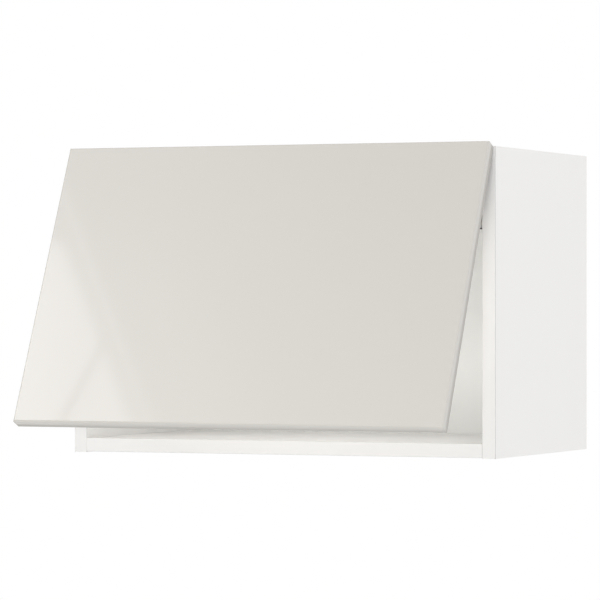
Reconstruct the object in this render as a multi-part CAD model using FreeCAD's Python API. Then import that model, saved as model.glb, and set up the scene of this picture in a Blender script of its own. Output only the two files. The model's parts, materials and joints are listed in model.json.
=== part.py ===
# Wall cabinet with a lift-up door, in millimetres.
# x runs to the right, the front faces -y and z is up. The origin is on the wall plane,
# midway between the two hanging hooks, at the level where they bear on a wall rail.
# Left-hand fittings are made first, with the door closed, and the right-hand ones mirror them.
import FreeCAD, Part
import math
import os

from FreeCAD import Vector

# Carcass
cabinet_width = 600.0
cabinet_height = 400.0
carcass_depth = 360.0
panel_thickness = 18.0
panel_inset = 1.0
panel_edge_radius = 0.7
back_thickness = 3.0
back_recess = 10.0
groove_depth = 7.0
seat_clearance = 0.1
overrun = 2.0

# Sides of the prisms that stand for small round pieces, and of round ends
small_sides = 8
round_sides = 12

# Shelf pin holes in the side panels
shelf_hole_radius = 2.5
shelf_hole_depth = 12.0
shelf_hole_pitch = 64.0
shelf_hole_rows = 2
shelf_front_setback = 37.0
shelf_column_spacing = 224.0
shelf_first_row_height = 128.0

# Panel joints: wood dowels, cam bolts and cam locks
joint_setback = 50.0
dowel_offset = 32.0
dowel_radius = 4.0
dowel_length = 30.0
dowel_side_depth = 11.0
cam_radius = 7.5
cam_height = 12.5
cam_distance = 24.0
cam_slot_width = 2.0
cam_slot_depth = 2.5
bolt_thread_radius = 2.5
bolt_thread_length = 11.0
bolt_shank_radius = 2.0
bolt_head_radius = 3.2
bolt_head_length = 5.0

# Door
door_thickness = 18.0
door_side_reveal = 2.0
door_top_reveal = 1.0
door_low_reveal = 3.0
door_gap = 2.0
door_edge_radius = 2.4
bumper_radius = 4.0
bumper_thickness = 1.7
bumper_inset = 20.0

# Door angles in degrees from closed
resting_angle = 24.6
full_angle = 100.0

# Lift linkage, as distances from the door's top back edge, which it turns about
frame_line_angle = 52.0
door_line_angle = 12.0
near_pivot_reach = 46.0
far_pivot_reach = 80.0
cross_reach = 40.0
tie_reach = 70.0

# Lift pins and link sections
pin_radius = 2.5
eye_wall = 3.5
waist_share = 0.72
running_clearance = 0.05
open_pivot_clearance = 0.12
plate_thickness = 1.5
arm_plate_thickness = 2.0
link_thickness = 5.6
layer_gap = 0.4
frame_space = 2.5
hub_wall = 2.0
hub_gap = 0.1

# Lift housing
housing_front = 8.0
housing_top_gap = 3.0
housing_below_gas = 16.0
housing_lower_lip = 4.0
housing_slope_run = 16.0
housing_tail_margin = 9.0
cover_wall = 1.6
cover_gap = 0.3
spacer_radius = 4.0
spacer_margin = 8.0

# Gas cylinder, rod, fork, roller and cam
cam_lead_per_degree = 0.2
cam_closed_radius = 36.0
cam_margin_angle = 17.0
cam_points = 13
roller_radius = 5.0
roller_gap = 0.3
roller_side_gap = 0.2
journal_radius = 1.5
fork_wall = 1.8
fork_reach = 8.0
fork_base = 6.0
rod_radius = 3.0
cylinder_radius = 7.0
cylinder_cap = 6.0
cylinder_length = 74.0
cylinder_tail = 10.0
end_margin = 2.0

# Door bracket
bracket_width = 26.0
bracket_margin = 10.0
bracket_edge_gap = 1.5
bracket_screw_inset = 5.0

# Screws
screw_shank_radius = 1.8
screw_head_radius = 3.6
screw_head_height = 2.0
screw_length = 12.0
screw_hole_clearance = 0.1

# Wall hangers
hook_drop = 45.0
hanger_width = 20.0
hanger_depth = 38.0
hanger_height = 42.0
hanger_wall = 2.0
hanger_top_gap = 3.0
hook_thickness = 5.0
hook_arm_height = 9.0
hook_leg_thickness = 2.5
hook_leg_length = 10.0
hook_wall_gap = 1.5
hook_travel = 4.0
lug_length = 12.0
lug_depth = 12.0
height_screw_radius = 3.0
height_screw_back = 24.0
height_screw_head_radius = 4.2
height_screw_head_height = 3.0
slot_clearance = 1.0
hanger_cover_wall = 1.5
hanger_cover_gap = 0.2
hanger_screw_inset = 8.0

# Levels and faces that follow from the sizes
half_width = cabinet_width / 2
inner_half = half_width - panel_thickness
top_level = hook_drop
bottom_level = top_level - cabinet_height
panel_reach = panel_inset + panel_thickness
inside_top = top_level - panel_reach
inside_bottom = bottom_level + panel_reach
back_front_face = back_recess + back_thickness

# Layers of the lift, as distances from the side panel's inner face
arm_outer_start = plate_thickness + frame_space
arm_outer_end = arm_outer_start + arm_plate_thickness
link_start = arm_outer_end + layer_gap
link_end = link_start + link_thickness
arm_inner_start = link_end + layer_gap
arm_inner_end = arm_inner_start + arm_plate_thickness
frame_start = arm_inner_end + frame_space
frame_end = frame_start + plate_thickness
link_centre = (link_start + link_end) / 2
eye_radius = pin_radius + eye_wall
waist_radius = eye_radius * waist_share
along_x = Vector(1, 0, 0)
along_y = Vector(0, 1, 0)
along_z = Vector(0, 0, 1)
half_turn = 180
quarter_turn = half_turn / 2


def block(x_range, y_range, z_range):
    """A box between pairs of limits."""
    size = [high - low for low, high in (x_range, y_range, z_range)]
    return Part.makeBox(*size, Vector(x_range[0], y_range[0], z_range[0]))


def rod_between(radius, start, length, direction):
    return Part.makeCylinder(radius, length, start, direction)


def prism(radius, start, length, direction, sides=small_sides):
    """A prism with few sides, for a small round piece or for the hole that it fills."""
    aside = along_x if abs(direction.x) < direction.Length / 2 else along_y
    across = direction.cross(aside).normalize() * radius
    upward = direction.cross(across)
    turns = [2 * math.pi * side / sides for side in range(sides)]
    corners = [start + across * math.cos(turn) + upward * math.sin(turn) for turn in turns]
    return Part.Face(Part.makePolygon(corners + corners[:1])).extrude(direction * length)


def mirrored(shape):
    """The right-hand copy of a left-hand shape."""
    return shape.mirror(Vector(0, 0, 0), along_x)


def both_sides(shape):
    return [shape, mirrored(shape)]


def group(solids):
    return Part.makeCompound([piece for shape in solids for piece in shape.Solids])


# Places in the lift: depth behind the carcass front and drop below the carcass top


def turned(reach, angle, centre):
    """The place at a reach from a centre, at an angle back from straight down."""
    rad = math.radians(angle)
    return centre[0] + reach * math.sin(rad), centre[1] + reach * math.cos(rad)


def spot(side, place):
    """A point beside the left side panel: distance from its inner face, then (depth, drop)."""
    return Vector(side - inner_half, place[0] - carcass_depth, top_level - place[1])


def crosswise(radius, place, start, end):
    """A cylinder along x at a place, between two distances from the side panel."""
    return rod_between(radius, spot(start, place), end - start, along_x)


def crosswise_prism(radius, place, start, end, sides=small_sides):
    """A prism along x at a place, between two distances from the side panel."""
    return prism(radius, spot(start, place), end - start, along_x, sides)


def bar(first, last, radius, start, end):
    """A flat bar with rounded ends about two places."""
    heading = math.degrees(math.atan2(last[0] - first[0], last[1] - first[1]))
    half_sides = round_sides // 2
    corners = []
    for centre, facing in ((last, heading), (first, heading + half_turn)):
        steps = [step / half_sides - 1 / 2 for step in range(half_sides + 1)]
        angles = [facing + half_turn * step for step in steps]
        corners += [turned(radius, angle, centre) for angle in angles]
    return outline_plate(corners, start, end)


def outline_plate(places, start, end):
    """A plate with straight edges between places."""
    corners = [spot(start, place) for place in places]
    wire = Part.makePolygon(corners + corners[:1])
    return Part.Face(wire).extrude(along_x * (end - start))


door_edge = (-door_gap, door_top_reveal)
arm_pivot = turned(near_pivot_reach, frame_line_angle, door_edge)
guide_pivot = turned(far_pivot_reach, frame_line_angle, door_edge)
cross_door_pin = turned(cross_reach, door_line_angle, door_edge)
tie_door_pin = turned(tie_reach, door_line_angle, door_edge)
cross_arm_pin = turned(cross_reach, door_line_angle, arm_pivot)
tie_arm_pin = turned(tie_reach, door_line_angle, arm_pivot)
cross_guide_pin = turned(cross_reach, door_line_angle, guide_pivot)

roller_place = (guide_pivot[0] + cam_closed_radius, guide_pivot[1])
fork_rear = roller_place[0] + fork_reach + fork_base
cylinder_front = fork_rear + end_margin
cylinder_rear = cylinder_front + cylinder_length
anchor_place = (cylinder_rear - cylinder_tail / 2, guide_pivot[1])

housing_top = panel_reach + housing_top_gap
housing_rear = cylinder_rear + housing_tail_margin
housing_low = guide_pivot[1] + cylinder_radius + housing_below_gas
housing_front_low = arm_pivot[1] + tie_reach + housing_lower_lip
slope_front = cross_guide_pin[0] + eye_radius + housing_lower_lip
slope_rear = slope_front + housing_slope_run


def swung(shape, centre):
    """A shape turned from its closed place to its resting place about a place in the lift."""
    moved = shape.copy()
    moved.rotate(spot(0, centre), -along_x, resting_angle)
    return moved


def carried(shape, closed_place, centre):
    """A shape moved, without turning, as a place that swings about a centre."""
    start = Part.Vertex(spot(0, closed_place))
    step = swung(start, centre).Point - start.Point
    return shape.translated(step)


def screw(tip_direction, seat):
    """A pan head screw: its head's underside is at the seat, its shank points away."""
    head = prism(screw_head_radius, seat, screw_head_height, -tip_direction)
    return head.fuse(prism(screw_shank_radius, seat, screw_length, tip_direction))


def screw_hole(tip_direction, seat):
    """What a screw needs cut from the plate under its head and from the board behind."""
    start = seat - tip_direction * overrun
    length = overrun + screw_length + end_margin
    return prism(screw_shank_radius + screw_hole_clearance, start, length, tip_direction)


# Panel joints


def joint_depths():
    """How far the two joints of a corner stand behind the carcass front."""
    return [joint_setback, carcass_depth - joint_setback]


def joint_drops():
    """The drop of the top and bottom panels' middles below the carcass top."""
    middle = panel_inset + panel_thickness / 2
    return [middle, cabinet_height - middle]


def dowel_depth(depth):
    """The dowel stands beside its bolt, on the side towards the carcass middle."""
    return depth + math.copysign(dowel_offset, carcass_depth / 2 - depth)


def dowel_places():
    return [(dowel_depth(depth), drop) for depth in joint_depths() for drop in joint_drops()]


def dowel_cuts():
    start = -dowel_side_depth - end_margin
    end = dowel_length - dowel_side_depth + end_margin
    return [crosswise_prism(dowel_radius, place, start, end) for place in dowel_places()]


def wood_dowels():
    start = -dowel_side_depth
    end = start + dowel_length
    pieces = [crosswise_prism(dowel_radius, place, start, end) for place in dowel_places()]
    return group(pieces + [mirrored(piece) for piece in pieces])


def cam_bolt(place):
    """A bolt screwed into the side panel, whose head the cam lock draws in."""
    head_start = cam_distance - bolt_head_length
    thread = crosswise_prism(bolt_thread_radius, place, -bolt_thread_length, 0)
    shank = crosswise_prism(bolt_shank_radius, place, 0, head_start)
    head = crosswise_prism(bolt_head_radius, place, head_start, cam_distance)
    return thread.multiFuse([shank, head]).removeSplitter()


def cam_start(drop):
    """The height of a cam lock's outer face and the way that it points into its panel."""
    on_top = drop < cabinet_height / 2
    level = top_level - panel_inset if on_top else bottom_level + panel_inset
    return level, -along_z if on_top else along_z


def cam_lock(place):
    """A round cam lock let into the panel's hidden face, with a driver slot and a pocket."""
    level, inwards = cam_start(place[1])
    centre = spot(cam_distance, place)
    face = Vector(centre.x, centre.y, level)
    body = prism(cam_radius, face, cam_height, inwards, round_sides)
    slot_depth = sorted([level, level + inwards.z * cam_slot_depth])
    slot_x = (face.x - cam_radius, face.x + cam_radius)
    slot_y = (face.y - cam_slot_width / 2, face.y + cam_slot_width / 2)
    slot = block(slot_x, slot_y, slot_depth)
    pocket_radius = bolt_head_radius + seat_clearance
    pocket = crosswise_prism(pocket_radius, place, 0, cam_distance + seat_clearance)
    return body.cut(slot).cut(pocket)


def cam_cuts(place):
    """The cam lock's hole and the bolt's channel in the end of a top or bottom panel."""
    level, inwards = cam_start(place[1])
    centre = spot(cam_distance, place)
    start = Vector(centre.x, centre.y, level) - inwards * overrun
    hole_radius = cam_radius + seat_clearance
    hole = prism(hole_radius, start, cam_height + overrun, inwards, round_sides)
    channel = crosswise_prism(bolt_head_radius + seat_clearance, place, -overrun, cam_distance)
    return [hole, channel]


def cam_places():
    return [(depth, drop) for depth in joint_depths() for drop in joint_drops()]


# Carcass panels


def rounded_front(panel):
    """Softens a panel's two long front edges."""
    front = -carcass_depth
    edges = []
    for edge in panel.Edges:
        ends = [vertex.Point for vertex in edge.Vertexes]
        at_front = all(abs(point.y - front) < panel_edge_radius / 2 for point in ends)
        if at_front and edge.Length > panel_thickness + overrun:
            edges.append(edge)
    return panel.makeFillet(panel_edge_radius, edges)


def back_groove():
    """The back panel with the room that its grooves give it."""
    reach = inner_half + groove_depth
    x_range = (-reach, reach)
    y_range = (-back_front_face - seat_clearance, -back_recess + seat_clearance)
    z_range = (inside_bottom - groove_depth, inside_top + groove_depth)
    return block(x_range, y_range, z_range)


def shelf_holes():
    depths = [shelf_front_setback, shelf_front_setback + shelf_column_spacing]
    first = cabinet_height - shelf_first_row_height
    drops = [first - row * shelf_hole_pitch for row in range(shelf_hole_rows)]
    places = [(depth, drop) for depth in depths for drop in drops]
    return [crosswise(shelf_hole_radius, place, -shelf_hole_depth, overrun) for place in places]


def side_panel():
    x_range = (-half_width, -inner_half)
    panel = rounded_front(block(x_range, (-carcass_depth, 0), (bottom_level, top_level)))
    bolts = [
        crosswise_prism(bolt_thread_radius, place, -bolt_thread_length, overrun)
        for place in cam_places()
    ]
    cuts = dowel_cuts() + bolts + shelf_holes() + [back_groove()]
    cuts += [screw_hole(-along_x, seat) for seat in lift_screw_seats() + hanger_screw_seats()]
    return panel.cut(cuts)


def level_panel(on_top):
    """The top or the bottom panel."""
    low = inside_top if on_top else bottom_level + panel_inset
    x_range = (-inner_half, inner_half)
    panel = rounded_front(block(x_range, (-carcass_depth, 0), (low, low + panel_thickness)))
    cuts = [back_groove()]
    for place in cam_places():
        if (place[1] < cabinet_height / 2) == on_top:
            cuts += [copy for cut in cam_cuts(place) for copy in both_sides(cut)]
    for cut in dowel_cuts():
        cuts += both_sides(cut)
    return panel.cut(cuts)


def back_panel():
    edge = groove_depth - seat_clearance
    reach = inner_half + edge
    z_range = (inside_bottom - edge, inside_top + edge)
    panel = block((-reach, reach), (-back_front_face, -back_recess), z_range)
    slot = hook_slot()
    return panel.cut([slot, mirrored(slot)])


# Door


def door():
    """The slab, with its front edges rounded, at its closed place."""
    reach = half_width - door_side_reveal
    rear = -carcass_depth - door_gap
    z_range = (bottom_level + door_low_reveal, top_level - door_top_reveal)
    slab = block((-reach, reach), (rear - door_thickness, rear), z_range)
    front = min(vertex.Y for vertex in slab.Vertexes)
    edges = [
        edge
        for edge in slab.Edges
        if all(abs(vertex.Y - front) < door_edge_radius / 2 for vertex in edge.Vertexes)
    ]
    slab = slab.makeFillet(door_edge_radius, edges)
    holes = [screw_hole(-along_y, seat) for seat in bracket_screw_seats()]
    return slab.cut(holes + [mirrored(hole) for hole in holes])


def door_bumpers():
    """Soft stops near the door's lower corners, which meet the side panels' front edges."""
    centre = Vector(-half_width + panel_thickness / 2, -carcass_depth - door_gap, 0)
    centre.z = bottom_level + door_low_reveal + bumper_inset
    bumper = prism(bumper_radius, centre, bumper_thickness, along_y, round_sides)
    return group(both_sides(bumper))


# Lift housing


def housing_outline():
    return [
        (housing_front, housing_top),
        (housing_rear, housing_top),
        (housing_rear, housing_low),
        (slope_rear, housing_low),
        (slope_front, housing_front_low),
        (housing_front, housing_front_low),
    ]


def spacer_places():
    low = housing_low - spacer_margin
    high = housing_top + spacer_margin
    rear = housing_rear - spacer_margin
    return [(guide_pivot[0], high), (rear, high), (rear, low), (cylinder_front, low)]


def lift_screw_places():
    """Four screws, clear of the spacers, the cylinder and the pins."""
    middle = (cylinder_front + cylinder_rear) / 2
    front = housing_front + spacer_margin
    high = housing_top + spacer_margin
    return [
        (front, housing_front_low - spacer_margin),
        (front, (arm_pivot[1] + housing_front_low) / 2),
        (middle, high),
        (middle, housing_low - spacer_margin),
    ]


def lift_screw_seats():
    return [spot(plate_thickness, place) for place in lift_screw_places()]


def lift_plate(start, end):
    """The outline shared by the base plate and the frame plate."""
    return outline_plate(housing_outline(), start, end)


def lift_base():
    plate = lift_plate(0, plate_thickness)
    return plate.cut([screw_hole(-along_x, seat) for seat in lift_screw_seats()])


def lift_frame():
    """The inner frame plate, with driver holes over the screws of the base plate."""
    driver_radius = screw_head_radius + screw_hole_clearance
    cuts = [
        crosswise_prism(driver_radius, place, frame_start - overrun, frame_end + overrun)
        for place in lift_screw_places()
    ]
    return lift_plate(frame_start, frame_end).cut(cuts)


def lift_spacers():
    """Posts that hold the two plates apart."""
    layer = (plate_thickness, frame_start)
    places = spacer_places()
    return group([crosswise_prism(spacer_radius, place, *layer, round_sides) for place in places])


def frame_pins():
    """The pins that the two arms turn on, and the pin that holds the gas cylinder."""
    layer = (plate_thickness, frame_start)
    anchor = crosswise_prism(pin_radius, anchor_place, *layer)
    turning = (arm_pivot, guide_pivot)
    pivots = [crosswise_prism(pin_radius, place, *layer, round_sides) for place in turning]
    return group(pivots + [anchor])


def cover_outline(margin):
    """The housing's outline grown by a margin, except at the front, where it is level."""
    slope = math.atan2(housing_slope_run, housing_front_low - housing_low)
    low_shift = margin * math.tan((math.pi / 2 - slope) / 2)
    return [
        (housing_front, housing_top - margin),
        (housing_rear + margin, housing_top - margin),
        (housing_rear + margin, housing_low + margin),
        (slope_rear + low_shift, housing_low + margin),
        (slope_front + low_shift, housing_front_low + margin),
        (housing_front, housing_front_low + margin),
    ]


def lift_cover():
    """A moulded cover: a face over the frame plate, and walls round the gas cylinder."""
    outer = outline_plate(cover_outline(cover_gap + cover_wall), 0, frame_end + cover_wall)
    inner = outline_plate(cover_outline(cover_gap), -overrun, frame_end)
    shell = outer.cut(inner)
    front_room = [
        (housing_front - overrun, 0),
        (slope_front + overrun, 0),
        (slope_front + overrun, housing_front_low + tie_reach),
        (housing_front - overrun, housing_front_low + tie_reach),
    ]
    shell = shell.cut(outline_plate(front_room, -overrun, frame_end))
    return shell.removeSplitter()


# Lift links


def eye_bore(place, clearance):
    """A bore through every layer of the lift, for a pin with a clearance."""
    return crosswise(pin_radius + clearance, place, 0, frame_end)


def twin_plates(first, last):
    """Two bars, one in each of the arms' layers."""
    return [
        bar(first, last, eye_radius, arm_outer_start, arm_outer_end),
        bar(first, last, eye_radius, arm_inner_start, arm_inner_end),
    ]


def arm_hub(pivot):
    """A tube that joins an arm's plates and keeps them in their layers."""
    start = plate_thickness + hub_gap
    return crosswise_prism(pin_radius + hub_wall, pivot, start, frame_start - hub_gap, round_sides)


def main_arm():
    """Twin plates from the frame pin to the two link pins, joined by a hub on the pin."""
    outer, inner = twin_plates(arm_pivot, tie_arm_pin)
    arm = outer.multiFuse([inner, arm_hub(arm_pivot)])
    return arm.cut(eye_bore(arm_pivot, running_clearance)).removeSplitter()


def cross_pins(places):
    """Pins held between twin plates."""
    layer = (arm_outer_end, arm_inner_start)
    return group([crosswise_prism(pin_radius, place, *layer, round_sides) for place in places])


def cam_radius_at(angle):
    """The roller centre's distance from the guide pivot, at an angle from the guide arm."""
    closed_angle = quarter_turn - door_line_angle
    return cam_closed_radius - cam_lead_per_degree * (angle - closed_angle)


def cam_surface(angle):
    """The cam's edge: the spiral of the roller's centre, moved in by the roller's radius."""
    radius = cam_radius_at(angle)
    turn = math.radians(angle)
    lead = math.degrees(cam_lead_per_degree)
    away = (math.sin(turn), math.cos(turn))
    onward = (math.cos(turn), -math.sin(turn))
    size = math.hypot(radius, lead)
    normal = [(away[i] * radius + onward[i] * lead) / size for i in (0, 1)]
    inset = roller_radius + roller_gap
    return radius * away[0] - normal[0] * inset, radius * away[1] - normal[1] * inset


def cam_place(angle):
    """A point of the cam's edge, with the door closed."""
    across, along = cam_surface(angle)
    turn = math.radians(door_line_angle)
    depth = across * math.cos(turn) + along * math.sin(turn)
    drop = along * math.cos(turn) - across * math.sin(turn)
    return guide_pivot[0] + depth, guide_pivot[1] + drop


def cam():
    """A flat spiral cam: equal turns of the door move the roller by equal steps."""
    first = quarter_turn - door_line_angle - cam_margin_angle
    last = quarter_turn - door_line_angle + full_angle + cam_margin_angle
    steps = [first + (last - first) * i / (cam_points - 1) for i in range(cam_points)]
    edge = Part.BSplineCurve()
    edge.interpolate([spot(arm_outer_end, cam_place(angle)) for angle in steps])
    centre = spot(arm_outer_end, guide_pivot)
    edges = [
        Part.LineSegment(centre, edge.StartPoint).toShape(),
        edge.toShape(),
        Part.LineSegment(edge.EndPoint, centre).toShape(),
    ]
    return Part.Face(Part.Wire(edges)).extrude(along_x * (arm_inner_start - arm_outer_end))


def guide_arm():
    """Twin plates from the guide pivot to the cross link, joined by a hub and the cam."""
    outer, inner = twin_plates(guide_pivot, cross_guide_pin)
    arm = outer.multiFuse([inner, arm_hub(guide_pivot), cam()])
    return arm.cut(eye_bore(guide_pivot, running_clearance)).removeSplitter()


def cast_link(places, clearances):
    """A cast link with an eye at each place and a narrower web between them."""
    web = bar(places[0], places[-1], waist_radius, link_start, link_end)
    eyes = [
        crosswise_prism(eye_radius, place, link_start, link_end, round_sides)
        for place in places
    ]
    bores = [eye_bore(place, clearance) for place, clearance in zip(places, clearances)]
    return web.multiFuse(eyes).removeSplitter().cut(bores)


def cross_link():
    places = [cross_door_pin, cross_arm_pin, cross_guide_pin]
    return cast_link(places, [running_clearance, running_clearance, open_pivot_clearance])


def tie_link():
    return cast_link([tie_door_pin, tie_arm_pin], [open_pivot_clearance, running_clearance])


# Gas cylinder and what it pushes


def lengthwise(radius, start, end, place):
    """A prism along y between two depths, on the middle layer of the lift."""
    base = spot(link_centre, (start, place[1]))
    return prism(radius, base, end - start, along_y, round_sides)


def gas_cylinder():
    """A closed tube with a lug at its rear end, and a bore for the rod."""
    body = lengthwise(cylinder_radius, cylinder_front, cylinder_rear - cylinder_tail, roller_place)
    lug = bar(
        (cylinder_rear - cylinder_tail - overrun, anchor_place[1]),
        anchor_place,
        cylinder_tail / 2,
        link_start,
        link_end,
    )
    bore_end = cylinder_rear - cylinder_tail - cylinder_cap
    bore_radius = rod_radius + running_clearance
    bore = lengthwise(bore_radius, cylinder_front - overrun, bore_end, roller_place)
    anchor = crosswise_prism(pin_radius, anchor_place, 0, frame_end)
    return body.fuse(lug).cut([bore, anchor]).removeSplitter()


def gas_rod():
    """The rod, run in as far as it goes."""
    rod_end = cylinder_rear - cylinder_tail - cylinder_cap - end_margin
    return lengthwise(rod_radius, fork_rear, rod_end, roller_place)


def roller_fork():
    """A fork on the end of the rod, with a cheek each side of the roller and an axle."""
    outer_start = arm_outer_end - roller_gap - fork_wall
    inner_end = arm_inner_start + roller_gap + fork_wall
    half = roller_radius
    drop = roller_place[1]
    body = outline_plate(
        [
            (roller_place[0], drop - half),
            (fork_rear, drop - half),
            (fork_rear, drop + half),
            (roller_place[0], drop + half),
        ],
        outer_start,
        inner_end,
    )
    nose = crosswise_prism(half, roller_place, outer_start, inner_end, round_sides)
    gap_end = roller_place[0] + fork_reach
    room = outline_plate(
        [
            (roller_place[0] - half - overrun, drop - half - overrun),
            (gap_end, drop - half - overrun),
            (gap_end, drop + half + overrun),
            (roller_place[0] - half - overrun, drop + half + overrun),
        ],
        arm_outer_end - roller_gap,
        arm_inner_start + roller_gap,
    )
    axle = crosswise_prism(journal_radius, roller_place, outer_start, inner_end, round_sides)
    return body.fuse(nose).cut(room).fuse(axle).removeSplitter()


def roller():
    """A roller that turns on the fork's axle."""
    start = arm_outer_end - roller_gap + roller_side_gap
    end = arm_inner_start + roller_gap - roller_side_gap
    wheel = crosswise(roller_radius, roller_place, start, end)
    bore_radius = journal_radius + running_clearance
    return wheel.cut(crosswise(bore_radius, roller_place, 0, frame_end))


# Door bracket


def bracket_range():
    """The drops of the bracket's upper and lower ends."""
    return cross_door_pin[1] - bracket_margin, tie_door_pin[1] + bracket_margin * 2


def bracket_screw_seats():
    high, low = bracket_range()
    depth = plate_thickness - door_gap
    side = bracket_edge_gap + bracket_width - bracket_screw_inset
    places = [
        (side, high + bracket_screw_inset),
        (side, low - bracket_screw_inset),
        (link_centre, low - bracket_screw_inset),
    ]
    return [spot(across, (depth, drop)) for across, drop in places]


def door_bracket():
    """A flange on the door's back, with two cheeks that hold the door pins."""
    high, low = bracket_range()
    back = -door_gap
    flange = outline_plate(
        [(back, high), (back + plate_thickness, high), (back + plate_thickness, low), (back, low)],
        bracket_edge_gap,
        bracket_edge_gap + bracket_width,
    )
    cheeks = []
    for start, end in ((arm_outer_start, arm_outer_end), (arm_inner_start, arm_inner_end)):
        root_high = (back, cross_door_pin[1] - eye_radius)
        root_low = (back, tie_door_pin[1] + eye_radius)
        web = [root_high, cross_door_pin, tie_door_pin, root_low]
        cheeks.append(outline_plate(web, start, end))
        cheeks.append(bar(cross_door_pin, tie_door_pin, eye_radius, start, end))
    behind = block(
        (-inner_half, -inner_half + bracket_width + panel_thickness),
        (-carcass_depth - door_gap - door_thickness, -carcass_depth - door_gap),
        (top_level - low, top_level - high),
    )
    holes = [screw_hole(-along_y, seat) for seat in bracket_screw_seats()]
    return flange.multiFuse(cheeks).cut([behind] + holes).removeSplitter()


# Wall hangers


def hook_shape(first, thickness):
    """The hook plate's side view, as (distance from the wall, height), given a width."""
    bearing = 0
    top = hook_arm_height
    leg_front = hook_wall_gap + hook_leg_thickness
    screw_line = back_front_face + height_screw_back
    points = [
        (hook_wall_gap, top),
        (screw_line, top),
        (screw_line, bearing - lug_length),
        (back_front_face + end_margin, bearing - lug_length),
        (back_front_face + end_margin, bearing),
        (leg_front, bearing),
        (leg_front, bearing - hook_leg_length),
        (hook_wall_gap, bearing - hook_leg_length),
    ]
    corners = [Vector(first, -wall, height) for wall, height in points]
    return Part.Face(Part.makePolygon(corners + corners[:1])).extrude(along_x * thickness)


def screw_axis():
    """The foot of the height screw's line: left of the middle, at the hook's level."""
    return Vector(hanger_middle(), -back_front_face - height_screw_back, 0)


def hanger_middle():
    return -inner_half + hanger_width / 2


def hanger_top():
    return inside_top - hanger_top_gap


def hook():
    plate = hook_shape(hanger_middle() - hook_thickness / 2, hook_thickness)
    axis = screw_axis()
    lug = block(
        (axis.x - lug_depth / 2, axis.x + lug_depth / 2),
        (axis.y - lug_depth / 2, axis.y + lug_depth / 2),
        (-lug_length, 0),
    )
    radius = height_screw_radius + running_clearance
    start = axis - along_z * (lug_length + overrun)
    length = lug_length + hook_arm_height + overrun * 2
    return plate.fuse(lug).cut(rod_between(radius, start, length, along_z)).removeSplitter()


def hook_slot():
    """The slot in the back panel that the hook comes through and moves in."""
    half = hook_thickness / 2 + slot_clearance
    room = hook_travel + slot_clearance
    return block(
        (hanger_middle() - half, hanger_middle() + half),
        (-back_front_face - overrun, -back_recess + overrun),
        (-hook_leg_length - room, hook_arm_height + room),
    )


def hanger_ranges():
    x_range = (-inner_half, -inner_half + hanger_width)
    y_range = (-back_front_face - hanger_depth, -back_front_face)
    z_range = (hanger_top() - hanger_height, hanger_top())
    return x_range, y_range, z_range


def hanger_body():
    """A housing in the rear top corner, open at the front and towards the back panel."""
    x_range, y_range, z_range = hanger_ranges()
    outer = block(x_range, y_range, z_range)
    wall = hanger_wall
    room = block(
        (x_range[0] + wall, x_range[1] - wall),
        (y_range[0] - overrun, y_range[1] + overrun),
        (z_range[0] + wall, z_range[1] - wall),
    )
    axis = screw_axis()
    start = Vector(axis.x, axis.y, z_range[0] - overrun)
    radius = height_screw_radius + running_clearance
    bore = rod_between(radius, start, hanger_wall + overrun * 2, along_z)
    holes = [screw_hole(-along_x, seat) for seat in hanger_screw_seats()]
    return outer.cut([room, bore] + holes)


def hanger_screw_seats():
    x_range, y_range, z_range = hanger_ranges()
    seat = x_range[0] + hanger_wall
    front = y_range[0] + hanger_screw_inset
    heights = [z_range[0] + hanger_screw_inset, z_range[1] - hanger_screw_inset]
    return [Vector(seat, front, height) for height in heights]


def height_screw():
    """The screw that lifts and lowers the hook, held by the housing's floor."""
    x_range, y_range, z_range = hanger_ranges()
    axis = screw_axis()
    foot = Vector(axis.x, axis.y, z_range[0] - hub_gap)
    length = hanger_height + hub_gap - hanger_wall - end_margin
    shank = prism(height_screw_radius, foot, length, along_z, round_sides)
    head = prism(
        height_screw_head_radius, foot, height_screw_head_height, -along_z, round_sides
    )
    return shank.fuse(head).removeSplitter()


def hanger_cover():
    """A clip-on cover over the housing's inner and front sides."""
    x_range, y_range, z_range = hanger_ranges()
    gap = hanger_cover_gap
    wall = hanger_cover_wall
    outer = block(
        (x_range[0], x_range[1] + gap + wall),
        (y_range[0] - gap - wall, y_range[1]),
        (z_range[0] - gap - wall, z_range[1] + gap + wall),
    )
    room = block(
        (x_range[0] - overrun, x_range[1] + gap),
        (y_range[0] - gap, y_range[1] + overrun),
        (z_range[0] - gap, z_range[1] + gap),
    )
    axis = screw_axis()
    start = Vector(axis.x, axis.y, z_range[0] - gap - wall - overrun)
    access_radius = height_screw_head_radius + slot_clearance
    access = prism(access_radius, start, gap + wall + overrun * 2, along_z, round_sides)
    return outer.cut([room, access])


# Everything at its resting place


def hinged(shape):
    return swung(shape, door_edge)


def pushed(shape):
    """The rod's pieces, pushed forward from closed to the resting angle."""
    return shape.translated(-along_y * cam_lead_per_degree * resting_angle)


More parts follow.
